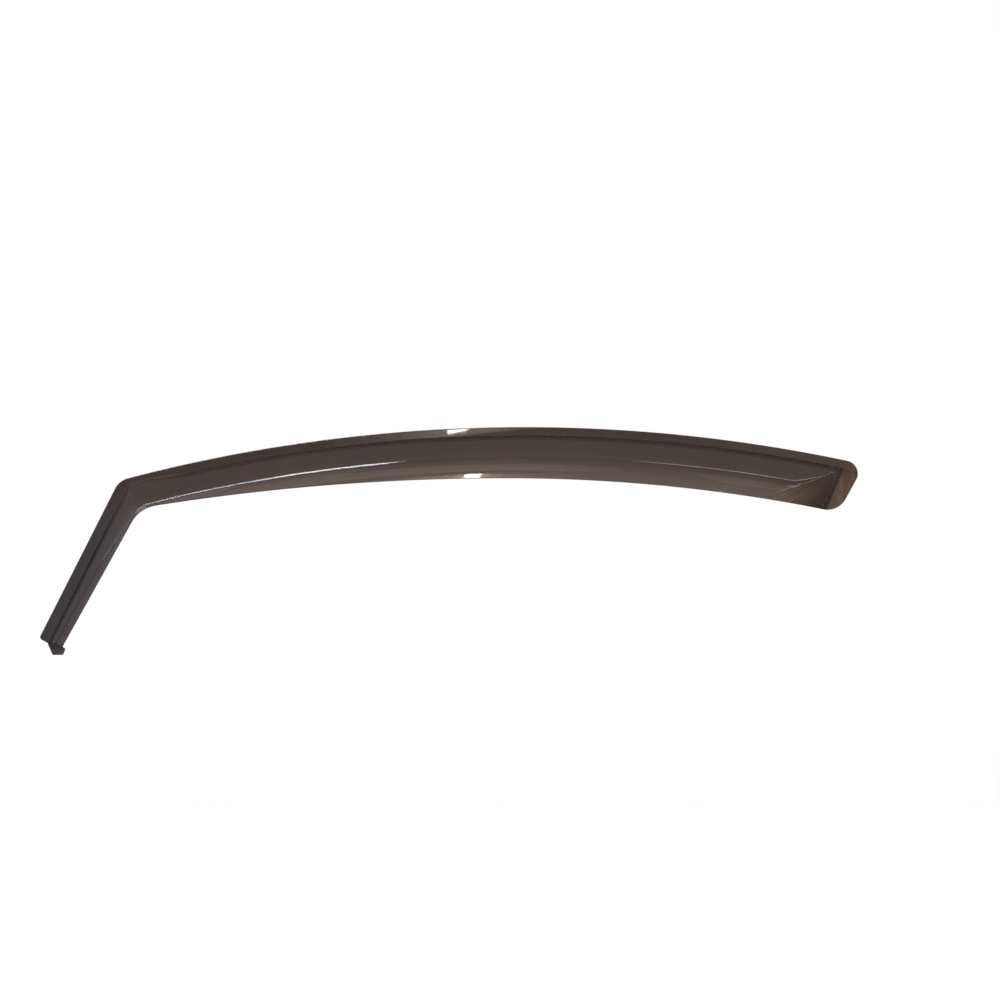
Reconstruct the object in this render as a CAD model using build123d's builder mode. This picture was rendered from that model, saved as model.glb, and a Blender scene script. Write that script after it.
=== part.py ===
"""Window rain deflector for the front left door of a car, one moulded piece of smoked acrylic.

The frame is the one the deflector is fitted in: +X runs back along the car, +Z is up and
-Y points away from the glass. The origin is on the glass side of the flange, half way across
it, at the crown of the arch. Sizes are millimetres and degrees.
"""
from build123d import *
from math import asin, cos, degrees, radians, sin, sqrt, tan
import os

# Wall and joggle: the flange lies on the glass, the joggle lifts the visor off it
wall = 3.0
flange_width = 9.5
joggle_run = 4.0
joggle_rise = 4.0
foot_radius = 1.0
head_inside_radius = 1.0

# Run over the top of the window: arch, sloping face, bend and lip
arch_radius = 1722.0
front_corner_x = -446.5
rear_corner_x = 374.5
face_run = 19.5
face_rise = 9.0
bend_inside_radius = 5.0
lip_run = 24.0
lip_radius = 115.0

# Free lower edge of the run: two arcs that meet level at its crown
visor_depth = 56.5
lower_crown_x = -20.0
lower_front_radius = 2484.0
lower_rear_radius = 1797.0

# Leg down the front of the window, with a lip that sinks on an arc and is level at the tip
leg_angle = 63.1
leg_length = 195.0
leg_flange_width = 11.2
leg_face_angle = 29.5
leg_lip_height = 9.5
leg_lip_radius = 2460.0
leg_lip_tilt = 6.0
leg_lip_offset = 20.0
leg_tip_width = 27.6
leg_edge_angle = 60.8

# Tab below the leg, back on the glass, measured from the leg's tip, and the fold above it
tab_root_x = 8.8
tab_root_drop = 3.5
tab_root_width = 20.8
tab_root_slope = 19.6
tab_tip_x = 14.9
tab_tip_width = 11.6
tab_drop = 18.2
fold_x = 21.0
fold_drop = 11.7
fold_slope = 6.5
fold_angle = 66.0

# Rear pad on the glass, and the long wall that closes the run in front of it
rear_low_x = 345.6
pad_width = 21.5
pad_lean = 23.0
rear_wall_angle = 18.0

# Rounded corners of the outline
outer_corner_radius = 22.0
inner_corner_radius = 36.0
rear_top_radius = 14.5
rear_low_radius = 23.0
leg_tip_radius = 3.5
tab_radius = 2.0
notch_radius = 1.0

# Sizes that follow: outer bend radii, heights, and lengths that overshoot the part
head_radius = head_inside_radius + wall
bend_radius = bend_inside_radius + wall
crown_z = flange_width / 2
arch_centre_z = crown_z - arch_radius
lower_crown_z = crown_z - visor_depth
visor_height = wall + joggle_rise + face_rise + lip_radius - sqrt(lip_radius**2 - lip_run**2)
ceiling = 2 * visor_height
span = rear_corner_x - front_corner_x
reach = 2 * span


def shifted(point, direction, distance=1.0):
    """Plan point moved from another along a direction."""
    return (point[0] + direction[0] * distance, point[1] + direction[1] * distance)


def heading(angle):
    """Plan direction at an angle above +X."""
    return (cos(radians(angle)), sin(radians(angle)))


def arch_point(x):
    """Plan point on the top edge."""
    return (x, arch_centre_z + sqrt(arch_radius**2 - x**2))


def lower_point(x, radius):
    """Plan point on the lower edge, on its arc of the given radius."""
    return (x, lower_crown_z - radius + sqrt(radius**2 - (x - lower_crown_x) ** 2))


def section_plane(point, inward):
    """Plane across the wall at a plan point: local X runs inward, local Y away from the glass."""
    return Plane(
        origin=(point[0], 0, point[1]),
        x_dir=(inward[0], 0, inward[1]),
        z_dir=(inward[1], 0, -inward[0]),
    )


# Plan points and directions of the leg, its tab and the rear pad
front_corner = arch_point(front_corner_x)
rear_corner = arch_point(rear_corner_x)
leg_down = heading(leg_angle + 180)
leg_in = heading(leg_angle - 90)
leg_tip = shifted(front_corner, leg_down, leg_length)
leg_tip_inner = shifted(leg_tip, leg_in, leg_tip_width)
leg_edge_top = shifted(leg_tip_inner, heading(leg_edge_angle), leg_length)
tab_root_left = shifted(leg_tip, (tab_root_x, -tab_root_drop))
tab_root_right = shifted(tab_root_left, (tab_root_width, -tab_root_width * tan(radians(tab_root_slope))))
tab_tip_left = shifted(leg_tip, (tab_tip_x, -tab_drop))
tab_tip_right = shifted(tab_tip_left, (tab_tip_width, 0))
fold_middle = shifted(leg_tip, (fold_x, -fold_drop))
pad_corner = shifted(rear_corner, (-pad_width, 0))


def run_section(plane, inset):
    """Section of the run: flange, joggle, face, bend and lip, then level past the lower edge."""
    foot = (flange_width, wall)
    head = (flange_width + joggle_run, wall + joggle_rise)
    bend = (head[0] + face_run, head[1] + face_rise)
    lip_end = (bend[0] + lip_run, visor_height)
    inner_x = lip_end[0] + visor_depth + leg_length
    outer_x = -flange_width
    with BuildSketch(plane) as section:
        with BuildLine():
            Polyline(lip_end, (inner_x, visor_height), (inner_x, -visor_height), (outer_x, -visor_height))
            Polyline((outer_x, -visor_height), (outer_x, wall), foot, head, bend)
            RadiusArc(bend, lip_end, lip_radius)
        make_face()
        for corner, radius in ((foot, foot_radius), (head, head_radius), (bend, bend_radius)):
            fillet(section.vertices().sort_by_distance(corner)[0], radius)
        if inset:
            offset(amount=-inset)
    return section.sketch


def wall_section(plane, foot_x, angle, inset):
    """Section of a straight wall: flange, joggle, then a rise at an angle to the glass."""
    foot = (foot_x, wall)
    head = (foot_x + joggle_run, wall + joggle_rise)
    crest = (head[0] + (ceiling - head[1]) / tan(radians(angle)), ceiling)
    with BuildSketch(plane) as section:
        with BuildLine():
            Polyline((-reach, wall), foot, head, crest, (reach, ceiling))
            Polyline((reach, ceiling), (reach, -visor_height), (-reach, -visor_height), (-reach, wall))
        make_face()
        for corner, radius in ((foot, foot_radius), (head, head_radius)):
            fillet(section.vertices().sort_by_distance(corner)[0], radius)
        if inset:
            offset(amount=-inset)
    return section.sketch


def leg_lip_section(inset):
    """Section along the leg, under its lip, on a plane tilted with the lip."""
    start = shifted(front_corner, leg_in, leg_lip_offset)
    across, out = heading(180 - leg_lip_tilt)
    plane = Plane(
        origin=(start[0], 0, start[1]),
        x_dir=(leg_down[0], 0, leg_down[1]),
        z_dir=(across * leg_in[0], out, across * leg_in[1]),
    )
    lip_tip = (leg_length, leg_lip_height)
    climb = leg_lip_radius - sqrt(leg_lip_radius**2 - span**2)
    lip_top = (leg_length - span, leg_lip_height + climb)
    with BuildSketch(plane) as section:
        with BuildLine():
            RadiusArc(lip_top, lip_tip, -leg_lip_radius)
            Polyline(lip_tip, (reach, leg_lip_height), (reach, -reach), (lip_top[0], -reach), lip_top)
        make_face()
        if inset:
            offset(amount=-inset)
    return section.sketch


def moulded_form(inset):
    """All that lies behind a skin of the wall: the outer skin, or the one inset from it.

    The lower of the run, the leg, the rear wall and the fold shows at each place, so they
    meet in mitred hips at the front corner and round the rear end.
    """
    half_turn = degrees(asin(span / arch_radius))
    run_start = (-span, arch_centre_z + arch_radius * cos(radians(half_turn)))
    run_plane = section_plane(run_start, heading(half_turn - 90))
    straight_walls = (
        (section_plane(front_corner, leg_in), leg_flange_width, leg_face_angle),
        (section_plane(pad_corner, heading(180 - pad_lean)), 0, rear_wall_angle),
        (section_plane(fold_middle, heading(90 - fold_slope)), 0, fold_angle),
    )
    bend_height = leg_lip_height + leg_length**2 / (8 * leg_lip_radius)
    bend_climb = (bend_height - wall - joggle_rise) / tan(radians(leg_face_angle))
    leg_middle = shifted(front_corner, leg_down, leg_length / 2)
    bend_x, bend_z = shifted(leg_middle, leg_in, leg_flange_width + joggle_run + bend_climb)
    with BuildPart() as form:
        revolve(
            run_section(run_plane, inset),
            axis=Axis((0, 0, arch_centre_z), (0, 1, 0)),
            revolution_arc=2 * half_turn,
        )
        for plane, foot_x, angle in straight_walls:
            extrude(wall_section(plane, foot_x, angle, inset), amount=reach, both=True, mode=Mode.INTERSECT)
        extrude(leg_lip_section(inset), amount=reach, both=True, mode=Mode.INTERSECT)
        fillet(form.edges().sort_by_distance((bend_x, inset - bend_height, bend_z))[0], bend_radius - inset)
    return form.part


# Plan outline: the arched band, the leg and the tab, with rounded corners
with BuildSketch(Plane.XZ) as outline:
    low_front = lower_point(front_corner_x, lower_front_radius)
    low_crown = (lower_crown_x, lower_crown_z)
    low_rear = lower_point(rear_low_x, lower_rear_radius)
    with BuildLine():
        RadiusArc(front_corner, rear_corner, arch_radius)
        Line(rear_corner, low_rear)
        RadiusArc(low_crown, low_rear, lower_rear_radius)
        RadiusArc(low_front, low_crown, lower_front_radius)
        Line(low_front, front_corner)
    make_face()
    with BuildLine():
        Polyline(front_corner, leg_tip, leg_tip_inner, leg_edge_top, close=True)
    make_face()
    with BuildLine():
        Polyline(tab_root_left, tab_tip_left, tab_tip_right, tab_root_right, close=True)
    make_face()
    for corner, radius in (
        (front_corner, outer_corner_radius),
        (rear_corner, rear_top_radius),
        (low_rear, rear_low_radius),
        (leg_edge_top, inner_corner_radius),
        (leg_tip, leg_tip_radius),
        (tab_tip_left, tab_radius),
        (tab_tip_right, tab_radius),
        (tab_root_right, tab_radius),
        (tab_root_left, notch_radius),
        (leg_tip_inner, notch_radius),
    ):
        fillet(outline.vertices().sort_by_distance(corner)[0], radius)

# Deflector: the outer form trimmed to the outline, then hollowed to the wall
with BuildPart() as deflector:
    extrude(outline.sketch, amount=ceiling)
    add(moulded_form(0), mode=Mode.INTERSECT)
    add(moulded_form(wall), mode=Mode.SUBTRACT)
deflector.part.label = "deflector"

os.makedirs("parts", exist_ok=True)
export_step(deflector.part, "parts/deflector.step")
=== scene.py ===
from bisect import bisect_right
from math import acos, asin, copysign, cos, pi, radians, sin, sqrt, tan

import bmesh
import bpy
from mathutils import Matrix, Vector
from mathutils.geometry import intersect_line_line_2d
from mathutils.kdtree import KDTree


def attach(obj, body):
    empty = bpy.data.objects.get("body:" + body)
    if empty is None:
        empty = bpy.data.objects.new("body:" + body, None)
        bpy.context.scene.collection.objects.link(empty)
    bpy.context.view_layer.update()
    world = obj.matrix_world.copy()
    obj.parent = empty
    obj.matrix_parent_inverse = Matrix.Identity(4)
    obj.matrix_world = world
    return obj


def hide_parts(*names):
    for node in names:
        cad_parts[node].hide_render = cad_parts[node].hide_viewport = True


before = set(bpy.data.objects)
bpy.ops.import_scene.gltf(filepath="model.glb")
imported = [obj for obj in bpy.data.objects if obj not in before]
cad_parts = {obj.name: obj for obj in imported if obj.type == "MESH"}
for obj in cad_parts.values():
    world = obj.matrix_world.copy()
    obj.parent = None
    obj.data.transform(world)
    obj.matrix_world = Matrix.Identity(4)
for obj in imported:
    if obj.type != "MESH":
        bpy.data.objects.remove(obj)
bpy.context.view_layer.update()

# Outline of the deflector: one moulding of smoked acrylic, trimmed to the window it goes round.
# The arched run has a flange along its top edge, a leg comes down the front of the window to a
# small tab, and a rounded pad closes the rear end. The outer edge goes in the window channel.
mm = 0.001
flange_width = 9.5 * mm
arch_radius = 1722 * mm
front_corner_x = -446.5 * mm
rear_corner_x = 374.5 * mm
visor_depth = 56.5 * mm
lower_crown_x = -20 * mm
lower_front_radius = 2484 * mm
lower_rear_radius = 1797 * mm
rear_low_x = 345.6 * mm
leg_angle = radians(63.1)
leg_length = 195 * mm
leg_tip_width = 27.6 * mm
leg_edge_angle = radians(60.8)
tab_root = Vector((8.8, -3.5)) * mm
tab_root_reach = Vector((20.8, -7.4)) * mm
tab_tip = Vector((14.9, -18.2)) * mm
tab_tip_width = 11.6 * mm
outer_corner_radius = 22 * mm
inner_corner_radius = 36 * mm
rear_top_radius = 14.5 * mm
rear_low_radius = 23 * mm
leg_tip_radius = 3.5 * mm
tab_radius = 2 * mm
notch_radius = 1 * mm
corner_reach = 20 * mm
outline_step = 0.5 * mm
corner_steps = 16

crown_z = flange_width / 2
arch_centre = Vector((0, crown_z - arch_radius))
line_reach = 9 * leg_length


def heading(angle):
    """Plan direction at an angle above the length of the car."""
    return Vector((cos(angle), sin(angle)))


def crossing(first, first_way, second, second_way):
    """Plan point where two lines cross, each given by a point and a direction."""
    ends = []
    for point, way in ((first, first_way), (second, second_way)):
        ends += [point - way * line_reach, point + way * line_reach]
    return intersect_line_line_2d(*ends)


def arch_point(x):
    """Plan point on the top edge."""
    return Vector((x, arch_centre.y + sqrt(arch_radius**2 - x**2)))


def lower_point(x):
    """Plan point on the free lower edge: two arcs that meet level at its crown."""
    radius = lower_rear_radius if x > lower_crown_x else lower_front_radius
    return Vector((x, crown_z - visor_depth - radius + sqrt(radius**2 - (x - lower_crown_x) ** 2)))


def stretch(edge_point, start_x, end_x):
    """Plan points on one of the run's edges, at even steps."""
    steps = round(abs(end_x - start_x) / outline_step)
    return [edge_point(start_x + (end_x - start_x) * step / steps) for step in range(steps + 1)]


def rounded(corners, radii):
    """Plan points of a line through corners, each rounded to its radius."""
    line = [corners[0]]
    for before, corner, after, radius in zip(corners, corners[1:], corners[2:], radii):
        back = (before - corner).normalized()
        ahead = (after - corner).normalized()
        half = acos(back.dot(ahead)) / 2
        turn = copysign(pi - 2 * half, ahead.cross(back))
        centre = corner + (back + ahead).normalized() * radius / sin(half)
        spoke = corner + back * radius / tan(half) - centre
        for step in range(corner_steps + 1):
            line.append(centre + Matrix.Rotation(turn * step / corner_steps, 2) @ spoke)
    return line + [corners[-1]]


class Edge:
    """A line of plan points, walked by distance."""

    def __init__(self, points):
        self.points = points
        self.marks = [0.0]
        for here, there in zip(points, points[1:]):
            self.marks.append(self.marks[-1] + (there - here).length)

    def at(self, distance):
        """Plan point at a distance along the edge."""
        last = min(bisect_right(self.marks, distance), len(self.points) - 1)
        share = (distance - self.marks[last - 1]) / (self.marks[last] - self.marks[last - 1])
        return self.points[last - 1].lerp(self.points[last], share)

    def nearest(self, measure):
        """Distance along the edge to where a measure of the plan point is nearest to nought."""
        return min(zip(self.points, self.marks), key=lambda place: abs(measure(place[0])))[1]

    def slant(self, distance, way):
        """Sine of the angle at which a direction meets the edge."""
        ahead = self.at(distance + outline_step) - self.at(distance - outline_step)
        return abs(ahead.normalized().cross(way))


front_corner = arch_point(front_corner_x)
rear_corner = arch_point(rear_corner_x)
rear_low = lower_point(rear_low_x)
leg_down = -heading(leg_angle)
leg_in = heading(leg_angle - radians(90))
leg_tip = front_corner + leg_down * leg_length
leg_tip_inner = leg_tip + leg_in * leg_tip_width
leg_edge_up = heading(leg_edge_angle)
tab_left = leg_tip + tab_tip
tab_right = tab_left + Vector((tab_tip_width, 0))
tab_shoulder = leg_tip + tab_root + tab_root_reach
outer_notch = crossing(leg_tip, leg_in, tab_left, tab_left - leg_tip - tab_root)
inner_notch = crossing(leg_tip_inner, leg_edge_up, tab_shoulder, tab_root_reach)
inner_guide = lower_point(front_corner_x + corner_reach)
inner_guide_way = lower_point(inner_guide.x + corner_reach) - inner_guide
inner_corner = crossing(leg_tip_inner, leg_edge_up, inner_guide, inner_guide_way)

rear_middle = rear_corner.lerp(rear_low, 0.5)
tab_middle = tab_left.lerp(tab_right, 0.5)
arch_rear_x = rear_corner_x - corner_reach
arch_front_x = front_corner_x + corner_reach
low_rear_x = rear_low_x - corner_reach
low_front_x = inner_corner.x + corner_reach
rear_top = rounded((rear_middle, rear_corner, arch_point(arch_rear_x)), (rear_top_radius,))[1:-1]
rear_bottom = rounded((rear_middle, rear_low, lower_point(low_rear_x)), (rear_low_radius,))[1:-1]
leg_outside = rounded(
    (arch_point(arch_front_x), front_corner, leg_tip, outer_notch, tab_left, tab_middle),
    (outer_corner_radius, leg_tip_radius, notch_radius, tab_radius),
)[1:-1]
leg_inside = rounded(
    (lower_point(low_front_x), inner_corner, inner_notch, tab_shoulder, tab_right, tab_middle),
    (inner_corner_radius, notch_radius, tab_radius, tab_radius),
)[1:-1]
half_corner = corner_steps // 2
run_top = stretch(arch_point, arch_rear_x, arch_front_x)
run_bottom = stretch(lower_point, low_rear_x, low_front_x)
outer_edge = Edge(rear_top[half_corner:] + run_top + leg_outside[:-half_corner])
inner_edge = Edge(rear_bottom[half_corner:] + run_bottom + leg_inside[:-half_corner])
rear_side = Edge(rear_top[half_corner::-1] + rear_bottom[: half_corner + 1])
tab_side = Edge(leg_outside[-half_corner - 1 :] + leg_inside[: -half_corner - 2 : -1])

# Wall of the deflector: 3 mm thick, formed over a mould. A joggle lifts it off the glass from the
# flange to a sloping face, a tight bend and a lip. The leg has a steeper face and a lip that sinks to
# its tip, a long wall fans out from the rear corner to the pad, and a fold drops to the tab.
wall = 3 * mm
joggle_run = 4 * mm
joggle_rise = 4 * mm
face_run = 19.5 * mm
face_rise = 9 * mm
lip_run = 24 * mm
lip_radius = 115 * mm
leg_flange_width = 11.2 * mm
leg_face_slope = tan(radians(29.5))
leg_lip_height = 9.5 * mm
leg_lip_radius = 2460 * mm
leg_lip_slope = tan(radians(6))
leg_lip_offset = 20 * mm
pad_width = 21.5 * mm
pad_lean = radians(23)
rear_wall_slope = tan(radians(18))
fold_middle = leg_tip + Vector((21, -11.7)) * mm
fold_in = heading(radians(83.5))
fold_slope = tan(radians(66))
foot_radius = 1 * mm
head_radius = 4 * mm
bend_radius = 8 * mm
step_corner_ease = 1.2 * mm
front_corner_ease = 2.2 * mm
corner_narrowing = 3.8 * mm
narrowing_start = 5 * mm
narrowing_end = 72 * mm
front_hip_ease = 2.5 * mm
fan_corner = Vector((343.6, -43.7)) * mm
fan_ease = 2.4 / (1000 * mm)
fan_most = 4.5 * mm
least_ease = 0.3 * mm
leg_bend_start = 30 * mm
leg_bend_end = 70 * mm

pad_corner = rear_corner - Vector((pad_width, 0))
pad_in = heading(pi - pad_lean)
joggle_slope = joggle_rise / joggle_run
face_slope = face_rise / face_run
head_height = wall + joggle_rise
lip_end = flange_width + joggle_run + face_run + lip_run
lip_level = head_height + face_rise - sqrt(lip_radius**2 - lip_run**2)
lip_slope = tan(asin(lip_run / lip_radius))


def from_arch(point):
    """Distance in from the top edge."""
    return arch_radius - (point - arch_centre).length


def from_leg(point):
    """Distance in from the leg's outer edge."""
    return (point - front_corner).dot(leg_in)


def down_leg(point):
    """Distance down the leg."""
    return (point - front_corner).dot(leg_down)


def from_pad(point):
    """Distance in from the foot of the rear wall."""
    return (point - pad_corner).dot(pad_in)


def from_fold(point):
    """Distance up from the foot of the fold over the tab."""
    return (point - fold_middle).dot(fold_in)


def ease(radius, *slopes):
    """How near two slopes come in height where a bend of some radius eases one into the other."""
    low, high = sorted(slopes)
    middle = (low + high) / 2
    return radius * (high - low) ** 2 / (2 * (1 + middle**2) ** 1.5)


def lower_of(first, second, eased):
    """The lower of two heights, eased where they cross."""
    near = max(eased - abs(first - second), 0)
    return min(first, second) - near**2 / (4 * eased)


def share_of(value, start, end):
    """How far a value has come from start to end, kept between nought and one."""
    return min(max((value - start) / (end - start), 0), 1)


def in_from_edge(point):
    """Distance in from the outer edge, as the run's flange counts it, which narrows to the front corner."""
    far = share_of(from_leg(point), narrowing_start, narrowing_end)
    run = from_arch(point) + corner_narrowing * (1 - far**2 * (3 - 2 * far))
    return lower_of(run, from_leg(point) - leg_flange_width + flange_width, front_corner_ease)


def below(inset, slope):
    """How much lower a slope is once it is inset."""
    return inset * sqrt(1 + slope**2)


def face_height(point, inset=0.0):
    """Height of the sloping face above the glass."""
    run = head_height + (from_arch(point) - flange_width - joggle_run) * face_slope
    leg = head_height + (from_leg(point) - leg_flange_width - joggle_run) * leg_face_slope
    return lower_of(run - below(inset, face_slope), leg - below(inset, leg_face_slope), front_hip_ease)


def lip_height(point, inset=0.0):
    """Height of the lip above the glass."""
    short = max(lip_end - from_arch(point), 0)
    run = lip_level + sqrt((lip_radius - inset) ** 2 - short**2)
    to_tip = leg_length - down_leg(point)
    sunk = leg_lip_height + leg_lip_radius - sqrt(max(leg_lip_radius**2 - to_tip**2, 0))
    leg = sunk + (from_leg(point) - leg_lip_offset) * leg_lip_slope - below(inset, leg_lip_slope)
    return lower_of(run, leg, front_hip_ease)


def rear_height(point, inset=0.0):
    """Height above the glass of the wall that closes the rear end."""
    return head_height + (from_pad(point) - joggle_run) * rear_wall_slope - below(inset, rear_wall_slope)


def bend_ease(point, inset):
    """How near the face and the lip come in height where the bend eases one into the other."""
    run = ease(bend_radius - inset, face_slope, lip_slope)
    leg = ease(bend_radius - inset, leg_face_slope, leg_lip_slope)
    return run + (leg - run) * share_of(down_leg(point), leg_bend_start, leg_bend_end)


def fold_height(point, inset):
    """Height of the fold above the glass: a joggle, then a steeper rise to the leg's tip."""
    joggle = wall + from_fold(point) * joggle_slope - below(inset, joggle_slope)
    rise = head_height + (from_fold(point) - joggle_run) * fold_slope - below(inset, fold_slope)
    return -lower_of(-joggle, -rise, ease(head_radius + inset, joggle_slope, fold_slope))


def wall_height(point, inset):
    """Height above the glass of the wall's outer skin, or of the skin inset from it."""
    edge = lower_of(in_from_edge(point), from_pad(point) + flange_width, step_corner_ease)
    joggle = wall + (edge - flange_width) * joggle_slope - below(inset, joggle_slope)
    visor = lower_of(face_height(point, inset), lip_height(point, inset), bend_ease(point, inset))
    fan = min(max((point - fan_corner).length_squared * fan_ease, least_ease), fan_most)
    visor = lower_of(visor, rear_height(point, inset), fan)
    raised = lower_of(joggle, visor, ease(head_radius - inset, face_slope, joggle_slope))
    raised = lower_of(raised, fold_height(point, inset), ease(head_radius - inset, 0, fold_slope))
    return -lower_of(inset - wall, -raised, ease(foot_radius + inset, 0, joggle_slope))


# Shell of the deflector: a net of columns across the wall, from the rear pad to the leg's tab, with
# its rows on the joggle, the face, the bend and the lip. It is set out flat, raised to the wall's
# height, thickened towards the glass and rounded along the trimmed rim.
rim_radius = 0.6 * mm
rim_rows = [rim_radius * share for share in (0, 0.13, 0.5, 1, 1.4)]
rim_step = 0.5 * mm
row_counts = (5, 2, 6, 4, 4, 6, 8, 8, 12)
least_row = 0.2 * mm
least_slant = 0.3
foot_half = 0.6 * mm
head_half = 0.9 * mm
bend_half = 1.6 * mm
inside_shift = 2.4 * mm
step_margin = 2 * mm
rear_wall_margin = 4 * mm
rear_stretch_x = 250 * mm
front_stretch_x = front_corner_x + 45 * mm
leg_stretch = 60 * mm
tip_stretch = leg_length - 25 * mm
tip_inner_stretch = leg_length - 18 * mm
halvings = 30
grid_half = 0.5


def arch_turn(point):
    """Angle round the arch's centre."""
    return (point - arch_centre).angle_signed(Vector((0, 1)))


def same(measure, value):
    """A measure of plan points, counted from a value of it."""
    return lambda point: measure(point) - value


def station(measure, value):
    """Distances along the outer and the inner edge to where a measure has one value."""
    return outer_edge.nearest(same(measure, value)), inner_edge.nearest(same(measure, value))


def toward(point):
    """Measure that is least at a plan point."""
    return lambda place: (place - point).length


outer_end = outer_edge.marks[-1]
inner_end = inner_edge.marks[-1]
pad_station = station(from_pad, -step_margin)
corner_station = (outer_edge.nearest(toward(front_corner)), inner_edge.nearest(toward(inner_corner)))
tip_station = (outer_edge.nearest(toward(leg_tip)), inner_edge.nearest(same(down_leg, tip_inner_stretch)))
tab_station = station(from_fold, -step_margin)
# Each row has a column's two ends, then the number of columns from there to the next row's.
stations = (
    ((rim_rows[-1], rim_rows[-1]), 22),
    (pad_station, 20),
    (station(from_pad, joggle_run + rear_wall_margin), 50),
    (station(arch_turn, arch_turn(arch_point(rear_stretch_x))), 200),
    (station(arch_turn, arch_turn(arch_point(front_stretch_x))), 40),
    (corner_station, 40),
    (station(down_leg, leg_stretch), 80),
    (station(down_leg, tip_stretch), 12),
    (tip_station, 12),
    (station(from_fold, joggle_run + step_margin), 16),
    (tab_station, 8),
    ((outer_end - rim_rows[-1], inner_end - rim_rows[-1]), 0),
)
rulings = [(row, row) for row in rim_rows[:-1]]
for ((outer, inner), count), ((next_outer, next_inner), _) in zip(stations, stations[1:]):
    for step in range(count):
        share = step / count
        rulings.append((outer + (next_outer - outer) * share, inner + (next_inner - inner) * share))
rulings += [(outer_end - row, inner_end - row) for row in reversed(rim_rows)]


def passes(measure, length):
    """Distance along a ruling to where a rising measure passes nought, by halving."""
    low, high = 0.0, length
    for _ in range(halvings):
        middle = (low + high) / 2
        if measure(middle) < 0:
            low = middle
        else:
            high = middle
    return high


def over_lip(point):
    """How far the sloping face passes over the lip or the rear wall."""
    return face_height(point) - min(lip_height(point), rear_height(point))


def row_shares(outer, inner):
    """Shares of a ruling's length, with rows close together at the rim, the foot, the head and the bend."""
    start = outer_edge.at(outer)
    end = inner_edge.at(inner)
    length = (end - start).length
    way = (end - start).normalized()
    outer_slant = max(outer_edge.slant(outer, way), least_slant)
    inner_slant = max(inner_edge.slant(inner, way), least_slant)
    outer_rim = [row / outer_slant for row in rim_rows]
    inner_rim = [length - row / inner_slant for row in reversed(rim_rows)]

    def along(distance):
        return start.lerp(end, distance / length)

    foot = passes(lambda distance: in_from_edge(along(distance)) - flange_width, length)
    head = passes(lambda distance: in_from_edge(along(distance)) - flange_width - joggle_run, length)
    bend = passes(lambda distance: over_lip(along(distance)), length)
    first = outer_rim.pop()
    last = inner_rim.pop(0)
    knots = (
        first,
        foot - 2 * foot_half,
        foot - foot_half,
        foot + foot_half,
        head - head_half,
        head + head_half,
        head + head_half + inside_shift,
        bend - bend_half,
        bend + bend_half + inside_shift / 2,
        last,
    )
    places = []
    for near, far, count in zip(knots, knots[1:], row_counts):
        places += [near + (far - near) * step / count for step in range(count)]
    gap = min(least_row, (last - first) / len(places) / 2)
    places[0] = first
    for index in range(1, len(places)):
        places[index] = max(places[index], places[index - 1] + gap)
    for index in range(1, len(places) + 1):
        places[-index] = min(places[-index], last - gap * index)
    return [place / length for place in [*outer_rim, *places, last, *inner_rim]]


def column(outer, inner):
    """Plan points of one column: a ruling, bowed to the rear side or the tab's where it comes near."""
    bows = (
        (rear_side, 1 - outer / pad_station[0]),
        (tab_side, 1 - (outer_end - outer) / (outer_end - tab_station[0])),
    )
    points = []
    for share in row_shares(outer, inner):
        point = outer_edge.at(outer).lerp(inner_edge.at(inner), share)
        for side, nearness in bows:
            bow = side.at(share * side.marks[-1]) - side.points[0].lerp(side.points[-1], share)
            point += bow * max(nearness, 0)
        points.append(point)
    return points


def walked(points):
    """Plan points at even small steps along a line of them."""
    edge = Edge(points)
    steps = round(edge.marks[-1] / rim_step)
    return [edge.at(edge.marks[-1] * step / steps) for step in range(steps)]


def rim_drop(point):
    """How far a skin falls back at a plan point to round the trimmed rim."""
    index = rim_tree.find(point.to_3d())[1]
    away = []
    for neighbour in (index - 1, (index + 1) % len(rim)):
        side = rim[neighbour] - rim[index]
        share = share_of((point - rim[index]).dot(side), 0, side.length_squared)
        away.append((point - rim[index] - side * share).length)
    short = max(rim_radius - min(away), 0)
    return rim_radius - sqrt(rim_radius**2 - short**2)


columns = [column(*ruling) for ruling in rulings]
across = len(columns) - 1
down = len(columns[0]) - 1
shell = bmesh.new()
bmesh.ops.create_grid(shell, x_segments=across, y_segments=down, size=grid_half)
for vert in shell.verts:
    place = columns[round((vert.co.x + grid_half) * across)][round((vert.co.y + grid_half) * down)]
    vert.co = Vector((place.x, 0, place.y))

rim = walked(outer_edge.points) + walked(tab_side.points)
rim += walked(inner_edge.points[::-1]) + walked(rear_side.points[::-1])
rim_tree = KDTree(len(rim))
for index, point in enumerate(rim):
    rim_tree.insert(point.to_3d(), index)
rim_tree.balance()
skins = bmesh.ops.extrude_face_region(shell, geom=shell.faces[:], use_keep_orig=True)
glass_side = {item for item in skins["geom"] if isinstance(item, bmesh.types.BMVert)}
for vert in shell.verts:
    place = vert.co.xz
    drop = rim_drop(place)
    vert.co.y = -wall_height(place, wall) - drop if vert in glass_side else drop - wall_height(place, 0)
bmesh.ops.recalc_face_normals(shell, faces=shell.faces)
for face in shell.faces:
    face.smooth = True
deflector_mesh = bpy.data.meshes.new("deflector_shell")
shell.to_mesh(deflector_mesh)
shell.free()
deflector = bpy.data.objects.new("deflector_shell", deflector_mesh)
bpy.context.collection.objects.link(deflector)

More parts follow.
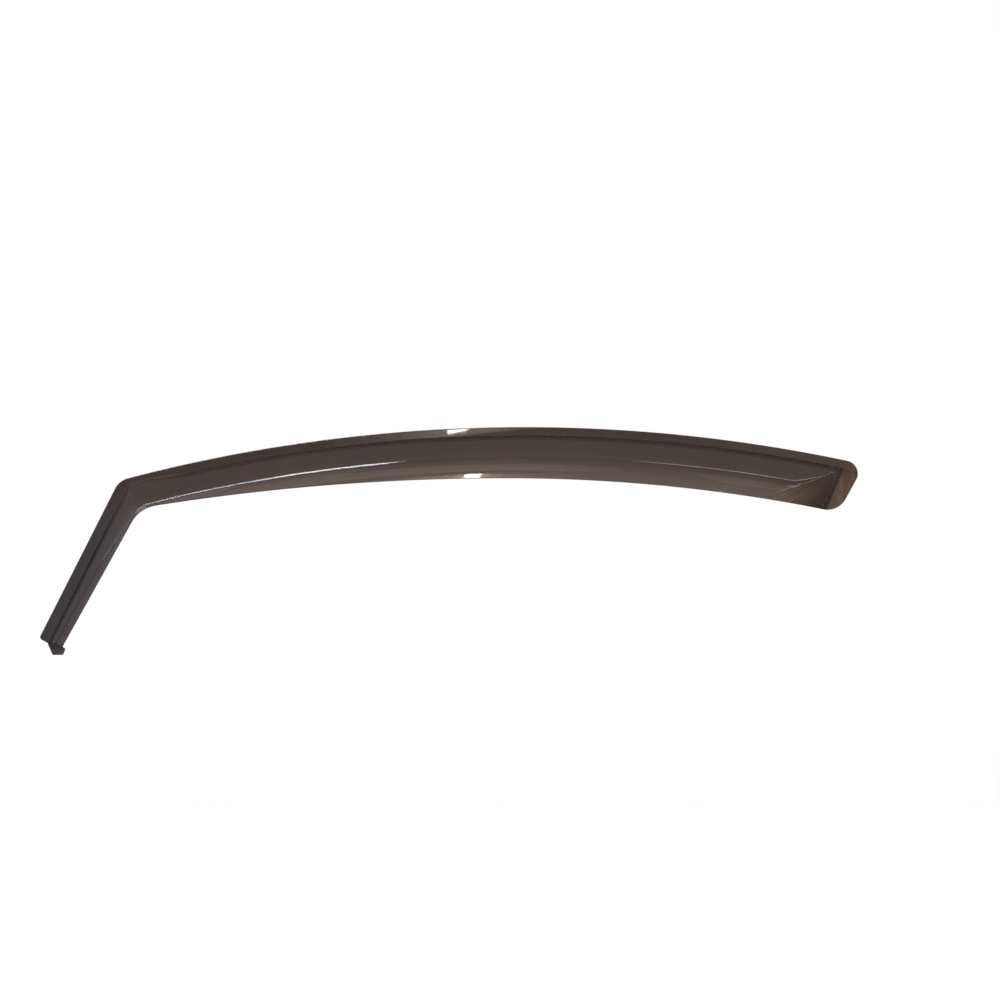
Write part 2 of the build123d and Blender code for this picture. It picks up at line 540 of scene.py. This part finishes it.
# Smoked acrylic of the deflector: clear bronze sheet, tinted right through and polished on both sides.
# Its colour is painted darker at the flange as painted shade, and lighter towards the free edge as painted
# light.
# Painted shade also darkens the risers, the joggle's foot, the fold and a wedge by the rear riser, painted
# light brightens the pad, and the leg is tinted bluer as a painted reflection. The rear wall has streaks
# that fan out from its corner, and the pad some flow lines.
# Painted shade and light: the first tint is the sheet's colour darkened as painted shade at the flange, the
# second the same colour lightened as painted light towards the free edge.
shaded_sheet_tint = (0.071, 0.050, 0.0405, 1)
lit_sheet_tint = (0.178, 0.144, 0.124, 1)
# Painted reflection: the leg is tinted bluer, as a painted reflection of a bluish sky.
leg_reflection_tint = (1.0, 1.18, 1.6, 1)
# Painted shade: the risers, the joggle's foot and the fold are darkened.
run_riser_shade = (0.78, 0.78, 0.8, 1)
leg_riser_shade = (0.2, 0.21, 0.24, 1)
pad_riser_shade = (0.6, 0.6, 0.65, 1)
foot_shade = (0.85, 0.85, 0.85, 1)
run_foot_shade = (0.75, 0.72, 0.71, 1)
fold_shade = (0.35, 0.36, 0.4, 1)
# Painted light: the pad is lightened and warmed as light coming through it, and more so and bluer towards
# its low corner.
pad_light_tint = (1.35, 1.08, 0.96, 1)
pad_foot_light_tint = (1.7, 2.0, 2.2, 1)
flow_tint = (1.6, 1.55, 1.5, 1)
# Painted shade: a darker wedge beside the rear riser.
wedge_shade = (0.85, 0.7, 0.7, 1)
amber_streak = (1.9, 1.6, 1.35, 1)
green_streak = (1.6, 1.8, 1.4, 1)
grey_streak = (1.7, 1.8, 1.9, 1)
cloud_tint = (1.1, 1.1, 1.1, 1)
crazed_white = (0.75, 0.73, 0.7, 1)
smoke_colour = (0.176, 0.0725, 0.0, 1)
smoke_density = 200
acrylic_ior = 1.49
polish = 0.012
scuffing = 0.004
foot_dullness = 0.5
run_foot_dullness = 0.8
leg_foot_dullness = 0.28
crazed_dullness = 0.6
waviness = 0.6e-6
scuff_scale = 160
wave_scale = 30
cloud_scale = 18
streak_scale = 45
flow_scale = (140, 1, 25)
nick_places = (Vector((214.4, -65.4)) * mm, Vector((216.0, -66.4)) * mm)
nick_size = 0.5 * mm
scratch_place = Vector((221.0, -59.6)) * mm
scratch_half = Vector((0.3, 2.7)) * mm
scratch_weight = 0.5
# Where each tint or finish starts and is full, and then, for a band, where it thins out and ends.
lit_from_arch = (24 * mm, 56 * mm)
lit_from_leg = (19 * mm, 46 * mm)
lit_from_pad = (25 * mm, 75 * mm)
run_start = (40 * mm, 90 * mm)
run_riser = (9.5 * mm, 10.5 * mm, 12.5 * mm, 14.5 * mm)
leg_reflection_start = (0, 60 * mm)
leg_riser_start = (0, 70 * mm)
leg_riser = (10.4 * mm, 12.2 * mm, 13.2 * mm, 15.2 * mm)
leg_foot_start = (0, 40 * mm)
foot_middle = 0.5 * mm
foot_sides = (0.7 * mm, 1.7 * mm)
foot_from_pad = (-1 * mm, 2 * mm)
fold_band = (-1.5 * mm, 0, 4 * mm, 8 * mm)
pad_end = (-2 * mm, 1 * mm)
pad_foot_end = (5 * mm, 45 * mm)
pad_riser = (-0.5 * mm, 0.3 * mm, 3.5 * mm, 5 * mm)
pad_riser_from_arch = (9 * mm, 11 * mm)
wedge_turn = (0.75, 1.05, 1.25, 1.4)
wedge_reach = (4 * mm, 12 * mm)
streak_turn = (0.22, 0.4, 0.65, 0.95)
streak_reach = (15 * mm, 50 * mm, 60 * mm, 85 * mm)
streak_from_arch = (30 * mm, 38 * mm)
streak_kinds = ((0, 0.48, amber_streak), (7, 0.52, green_streak), (3, 0.5, grey_streak))
streak_edge = 0.15
flow_edges = (0.52, 0.66)
cloud_edges = (0.35, 0.65)
scuff_edges = (0.5, 0.8)


class Socket:
    """One output in a material's nodes, or none yet. Sums and products of outputs add Math nodes."""

    def __init__(self, tree, output=None):
        self.tree = tree
        self.output = output

    def node(self, kind, settings=None, sockets=None, output=0):
        """Add a node, with its settings first and then the values or links of its sockets."""
        made = self.tree.nodes.new("ShaderNode" + kind)
        for name, value in (settings or {}).items():
            setattr(made, name, value)
        for name, value in (sockets or {}).items():
            if isinstance(value, Socket):
                self.tree.links.new(value.output, made.inputs[name])
            else:
                made.inputs[name].default_value = value
        return Socket(self.tree, made.outputs[output] if made.outputs else None)

    def math(self, operation, *values):
        """Add a Math node on some values."""
        return self.node("Math", {"operation": operation}, dict(enumerate(values)))

    def __add__(self, other):
        return self.math("ADD", self, other)

    def __radd__(self, other):
        return self.math("ADD", other, self)

    def __sub__(self, other):
        return self.math("SUBTRACT", self, other)

    def __rsub__(self, other):
        return self.math("SUBTRACT", other, self)

    def __mul__(self, other):
        return self.math("MULTIPLY", self, other)

    def __rmul__(self, other):
        return self.math("MULTIPLY", other, self)

    def rises(self, low, high):
        """A mask that goes smoothly from nought to one as a value goes from low to high."""
        values = {"Value": self, "From Min": low, "From Max": high}
        return self.node("MapRange", {"interpolation_type": "SMOOTHSTEP"}, values)

    def band(self, start, full, thins, end):
        """A mask that is one from full to thins, and goes smoothly to nought at start and end."""
        return self.rises(start, full) * (1 - self.rises(thins, end))

    def colour(self, blend, first, second):
        """Two colours blended, with this value as the share of the second."""
        settings = {"data_type": "RGBA", "blend_type": blend}
        return self.node("Mix", settings, {"Factor": self, 6: first, 7: second}, 2)


def bare_material(name):
    """A new material without nodes, and a socket to start its nodes from."""
    material = bpy.data.materials.new(name)
    material.use_nodes = True
    material.node_tree.nodes.clear()
    return material, Socket(material.node_tree)


acrylic, blank = bare_material("smoked_acrylic")
shaded = blank.node("TexCoord", output="Object")
plan = blank.node("VectorMath", {"operation": "MULTIPLY"}, {0: shaded, 1: (1, 0, 1)})


def lifted(point):
    """A plan point or direction as a place on the glass."""
    return (point.x, 0, point.y)


def distance_to(point):
    """Distance of the shaded place from a plan point."""
    return blank.node("VectorMath", {"operation": "DISTANCE"}, {0: plan, 1: lifted(point)}, "Value")


def distance_along(way, start):
    """Distance of the shaded place from a plan point, along a direction."""
    along = blank.node("VectorMath", {"operation": "DOT_PRODUCT"}, {0: plan, 1: lifted(way)}, "Value")
    return along - start.dot(way)


in_from_arch = arch_radius - distance_to(arch_centre)
in_from_leg = distance_along(leg_in, front_corner)
down_the_leg = distance_along(leg_down, front_corner)
in_from_pad = distance_along(pad_in, pad_corner)
in_from_run = in_from_arch + corner_narrowing * (1 - in_from_leg.rises(narrowing_start, narrowing_end))
in_from_flange = blank.math("MINIMUM", in_from_run, in_from_leg - leg_flange_width + flange_width)
up_the_fold = distance_along(fold_in, fold_middle)
fan_back = distance_along(Vector((-1, 0)), fan_corner)
fan_down = distance_along(Vector((0, -1)), fan_corner)
fan_turn = blank.math("ARCTAN2", fan_down, fan_back)
fan_reach = distance_to(fan_corner)

# Painted light: the colour grows lighter away from the flange, the leg's edge and the pad, towards the free
# edge.
lit_share = blank.math("MINIMUM", in_from_arch.rises(*lit_from_arch), in_from_leg.rises(*lit_from_leg))
lit_share = lit_share * in_from_pad.rises(*lit_from_pad)
along_run = in_from_leg.rises(*run_start)
at_foot = 1 - blank.math("ABSOLUTE", in_from_flange - flange_width - foot_middle).rises(*foot_sides)
at_foot = at_foot * in_from_pad.rises(*foot_from_pad)
off_pad = in_from_pad.rises(*pad_end)
on_pad = 1 - off_pad
flow_turn = (0, -pad_lean, 0)
flow_way = blank.node("Mapping", {}, {"Vector": shaded, "Rotation": flow_turn, "Scale": flow_scale})
flow = blank.node("TexNoise", {}, {"Vector": flow_way, "Scale": 1, "Detail": 3, "Distortion": 0.6})
clouds = blank.node("TexNoise", {}, {"Vector": shaded, "Scale": cloud_scale, "Detail": 3})
# Painted light and shade in these tints: the leg's bluer tint is a painted reflection, the risers, the
# joggle's foot, the fold and the wedge are painted shade, and the pad is painted light; the flow lines and
# clouds are the sheet's own tone.
tinted = [
    (down_the_leg.rises(*leg_reflection_start), leg_reflection_tint),
    (in_from_leg.band(*leg_riser) * down_the_leg.rises(*leg_riser_start), leg_riser_shade),
    (in_from_run.band(*run_riser) * along_run, run_riser_shade),
    (at_foot, foot_shade),
    (at_foot * along_run, run_foot_shade),
    (up_the_fold.band(*fold_band), fold_shade),
    (on_pad, pad_light_tint),
    (on_pad * (1 - distance_to(rear_low).rises(*pad_foot_end)), pad_foot_light_tint),
    (on_pad * flow.rises(*flow_edges), flow_tint),
    (in_from_pad.band(*pad_riser) * in_from_arch.rises(*pad_riser_from_arch), pad_riser_shade),
    (fan_turn.band(*wedge_turn) * fan_reach.rises(*wedge_reach) * off_pad, wedge_shade),
    (clouds.rises(*cloud_edges), cloud_tint),
]
in_fan = fan_turn.band(*streak_turn) * fan_reach.band(*streak_reach) * in_from_arch.rises(*streak_from_arch)
for seed, low, streak_tint in streak_kinds:
    round_fan = {"W": fan_turn + seed, "Scale": streak_scale, "Detail": 2}
    streaks = blank.node("TexNoise", {"noise_dimensions": "1D"}, round_fan)
    tinted.append((in_fan * streaks.rises(low, low + streak_edge), streak_tint))
tint = lit_share.colour("MIX", shaded_sheet_tint, lit_sheet_tint)
for mask, mask_tint in tinted:
    tint = mask.colour("MULTIPLY", tint, mask_tint)

scuffs = blank.node("TexNoise", {}, {"Vector": shaded, "Scale": scuff_scale, "Detail": 5, "Roughness": 0.7})
waves = blank.node("TexNoise", {}, {"Vector": shaded, "Scale": wave_scale, "Detail": 1})
rippled = blank.node("Bump", {}, {"Strength": 1.0, "Distance": waviness, "Height": waves})
dullness = foot_dullness + along_run * (run_foot_dullness - foot_dullness)
dullness = dullness + down_the_leg.rises(*leg_foot_start) * (leg_foot_dullness - foot_dullness)
clear_wall = {
    "Base Color": tint,
    "Roughness": polish + scuffs.rises(*scuff_edges) * scuffing + at_foot * dullness,
    "IOR": acrylic_ior,
    "Transmission Weight": 1.0,
    "Normal": rippled,
}
clear = blank.node("BsdfPrincipled", {}, clear_wall)
crazed = blank.node("BsdfPrincipled", {}, {"Base Color": crazed_white, "Roughness": crazed_dullness})
scratch_across = blank.math("ABSOLUTE", distance_along(Vector((1, 0)), scratch_place))
scratch_along = blank.math("ABSOLUTE", distance_along(Vector((0, 1)), scratch_place))
scratch = (1 - scratch_across.rises(0, scratch_half.x)) * (1 - scratch_along.rises(0, scratch_half.y))
marks = scratch * scratch_weight
for nick_place in nick_places:
    marks = marks + (1 - distance_to(nick_place).rises(nick_size / 2, nick_size))
worn = blank.node("MixShader", {}, {0: marks, 1: clear, 2: crazed})
smoke = blank.node("VolumeAbsorption", {}, {"Color": smoke_colour, "Density": smoke_density})
blank.node("OutputMaterial", {}, {"Surface": worn, "Volume": smoke})
deflector_mesh.materials.append(acrylic)
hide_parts("deflector")
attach(deflector, "root")

# Floor of the studio: a plain pale board that lies well below the deflector. Its paint is matt, and a
# soft box of its own lights it, so that it meets the backdrop without a dark line.
board_white = (0.8, 0.8, 0.8, 1)
board_size = 40.0
board_matt = 0.9
floor_drop = 0.8


def board(name, board_place, paint):
    """A plain square board, as part of the stage."""
    sheet = bmesh.new()
    bmesh.ops.create_grid(sheet, x_segments=1, y_segments=1, size=board_size / 2, matrix=board_place)
    sheet_mesh = bpy.data.meshes.new(name)
    sheet.to_mesh(sheet_mesh)
    sheet.free()
    sheet_mesh.materials.append(paint)
    sheet_object = bpy.data.objects.new(name, sheet_mesh)
    bpy.context.collection.objects.link(sheet_object)


floor_paint, painted = bare_material("floor")
matt = painted.node("BsdfPrincipled", {}, {"Base Color": board_white, "Roughness": board_matt})
painted.node("OutputMaterial", {}, {"Surface": matt})
board("floor", Matrix.Translation((0, 0, -floor_drop)), floor_paint)

# Backdrop of the studio: a board that stands far behind the deflector. To the camera, in reflections and
# through the wall it is plain white, and to all other light it is the same matt paint as the floor.
backdrop_place = (0, 7, 8)
upright = Matrix.Rotation(radians(90), 4, "X")
backdrop_paint, painted = bare_material("backdrop")
seen = painted.node("LightPath", output="Is Camera Ray")
for ray in ("Is Glossy Ray", "Is Transmission Ray"):
    seen = painted.math("MAXIMUM", seen, painted.node("LightPath", output=ray))
matt = painted.node("BsdfPrincipled", {}, {"Base Color": board_white, "Roughness": board_matt})
white = painted.node("Emission", {}, {"Color": (1, 1, 1, 1), "Strength": 1.0})
painted.node("OutputMaterial", {}, {"Surface": painted.node("MixShader", {}, {0: seen, 1: matt, 2: white})})
board("backdrop", Matrix.Translation(backdrop_place) @ upright, backdrop_paint)

# Studio light: a dim even room, with soft boxes that show only as reflections. Those above and beside the
# camera light the bend, the face, the lip and the hips, and narrow ones close to the camera show in the
# flange and at the free edge. Several make up one glow, each a little behind the one before it.
room_grey = 0.3
daylight = (0.93, 0.94, 1.0)
warm_light = (1.0, 0.84, 0.68)
lamp_light = (1.0, 0.96, 0.92)
face_light = (1.0, 0.93, 0.94)
leg_light = (1.0, 0.86, 0.93)
run_middle = (0, 0, 0)
front_end = (-0.43, 0, -0.08)
leg_middle = (-0.47, 0, -0.13)
rear_end = (0.32, 0, -0.05)
floor_middle = (0, 4.35, -floor_drop)
floor_spread = radians(90)
glow_start = Vector((-0.125, -5.97, 0.317))
glow_step = Vector((0, -0.01, 0))
glow_widths = (0.10, 0.14, 0.18, 0.22, 0.28, 0.36, 0.46, 0.58)
lip_box_front = -0.92
lip_box_rears = (0.06, 0.11, 0.16, 0.22)
lip_box_y = -3.0
lip_box_step = 0.02
lip_box_z = 0.67
# Each box has its place, the spot it faces, its width and height, its roll, its colour and its brightness.
soft_boxes = {
    "bend_front": ((-0.6325, -2.0, 1.36), run_middle, (0.655, 0.60), radians(6), daylight, 13.0),
    "bend_front_end": ((-0.465, -2.03, 1.36), run_middle, (0.30, 0.85), radians(6), daylight, 12.0),
    "bend_rear": ((0.46, -2.0, 1.33), run_middle, (0.33, 0.45), 0, daylight, 4.5),
    "bend_rear_end": ((0.72, -2.02, 1.55), run_middle, (0.24, 0.5), 0, daylight, 3.0),
    "below_bend": ((-0.62, -3.0, 1.0), run_middle, (0.50, 0.3), 0, daylight, 0.55),
    "below_bend_middle": ((-0.175, -3.0, 1.0), run_middle, (0.39, 0.3), 0, daylight, 0.15),
    "below_bend_front": ((-0.84, -3.02, 1.07), run_middle, (0.28, 0.26), 0, daylight, 0.7),
    "front_patch": ((-1.09, -3.0, 0.85), front_end, (0.24, 0.5), 0, daylight, 3.5),
    "front_patch_low": ((-1.13, -3.02, 0.45), front_end, (0.11, 0.34), 0, daylight, 3.0),
    "face": ((-0.05, -1.6, 2.0), run_middle, (2.5, 0.9), 0, face_light, 0.33),
    "front_hip": ((-1.66, -1.44, 1.39), front_end, (0.88, 0.9), radians(38), leg_light, 0.42),
    "leg_face": ((-2.25, -1.02, 0.69), leg_middle, (1.0, 1.0), 0, leg_light, 0.42),
    "leg_bend": ((-2.17, -2.0, 0.578), leg_middle, (1.18, 0.16), radians(-26), daylight, 2.0),
    "leg_lip": ((-1.38, -3.0, -0.10), leg_middle, (0.3, 0.4), 0, leg_light, 0.4),
    "lip_rear": ((0.55, lip_box_y, lip_box_z), run_middle, (0.3, 0.40), 0, warm_light, 0.5),
    "hip_upper": ((0.96, -2.0, 1.9), rear_end, (0.28, 0.22), 0, daylight, 3.2),
    "hip_middle": ((1.08, -2.0, 0.65), rear_end, (0.35, 0.30), 0, daylight, 1.8),
    "hip_lower": ((0.72, -2.0, 0.36), rear_end, (0.50, 0.08), radians(-40), daylight, 1.8),
    "flange_spot": ((-0.1195, -5.93, 0.0775), run_middle, (0.046, 0.010), radians(12), lamp_light, 28.0),
    "lip_spot_left": ((-0.101, -5.95, 0.36), run_middle, (0.040, 0.52), radians(0.5), lamp_light, 18.0),
    "lip_spot_right": ((-0.101, -5.96, 0.36), run_middle, (0.040, 0.52), radians(1.5), lamp_light, 18.0),
    "lip_glow": ((-0.103, -5.9, 0.40), run_middle, (0.085, 0.45), 0, warm_light, 2.0),
    "lip_glow_wide": ((-0.103, -5.88, 0.40), run_middle, (0.15, 0.45), 0, warm_light, 0.7),
    "flange_middle": ((0.12, -6.1, 0.07), run_middle, (0.70, 0.12), 0, warm_light, 0.14),
    "flange_rear": ((0.62, -6.1, 0.01), rear_end, (0.30, 0.10), radians(-8), warm_light, 0.35),
    "floor_light": ((0, 4.35, 0.6), floor_middle, (7.0, 5.2), 0, daylight, 2.0),
}
for step, glow_width in enumerate(glow_widths):
    glow_place = glow_start + glow_step * step
    soft_boxes[f"glow_{step}"] = (glow_place, run_middle, (glow_width, 0.5), radians(5.6), warm_light, 0.32)
for step, lip_box_rear in enumerate(lip_box_rears):
    lip_place = ((lip_box_front + lip_box_rear) / 2, lip_box_y - lip_box_step * step, lip_box_z)
    lip_width = lip_box_rear - lip_box_front
    soft_boxes[f"lip_{step}"] = (lip_place, run_middle, (lip_width, 0.40), 0, warm_light, 0.2)
scene = bpy.context.scene
scene.view_settings.view_transform = "Standard"
scene.world = bpy.data.worlds.new("room")
scene.world.use_nodes = True
room_light = scene.world.node_tree.nodes["Background"]
room_light.inputs["Color"].default_value = (room_grey, room_grey, room_grey, 1)
for name, (box_place, aim, (box_width, box_height), roll, box_colour, brightness) in soft_boxes.items():
    box = bpy.data.lights.new(name, "AREA")
    box.shape = "RECTANGLE"
    box.size = box_width
    box.size_y = box_height
    box.color = box_colour
    box.energy = brightness * pi * box_width * box_height
    box.spread = floor_spread if name == "floor_light" else pi
    box_object = bpy.data.objects.new(name, box)
    box_object.location = box_place
    facing = (Vector(box_place) - Vector(aim)).to_track_quat("Z", "Y").to_matrix()
    box_object.rotation_euler = (facing @ Matrix.Rotation(roll, 3, "Z")).to_euler()
    box_object.visible_camera = False
    box_object.visible_transmission = False
    bpy.context.collection.objects.link(box_object)

# Camera: level and far in front of the deflector, with a long lens, so that its view is almost square on.
# Its frame is a little wider than the deflector, measured half way out from the glass to the lip.
camera_reach = 6.0
frame_width = 1.1
half_way_out = 9 * mm
camera_x = -27.06 * mm
camera_z = -75.57 * mm
camera_data = bpy.data.cameras.new("camera")
camera_data.lens = camera_data.sensor_width * camera_reach / frame_width
camera = bpy.data.objects.new("camera", camera_data)
camera.location = (camera_x, -camera_reach - half_way_out, camera_z)
camera.rotation_euler = (radians(90), 0, 0)
bpy.context.collection.objects.link(camera)
scene.camera = camera
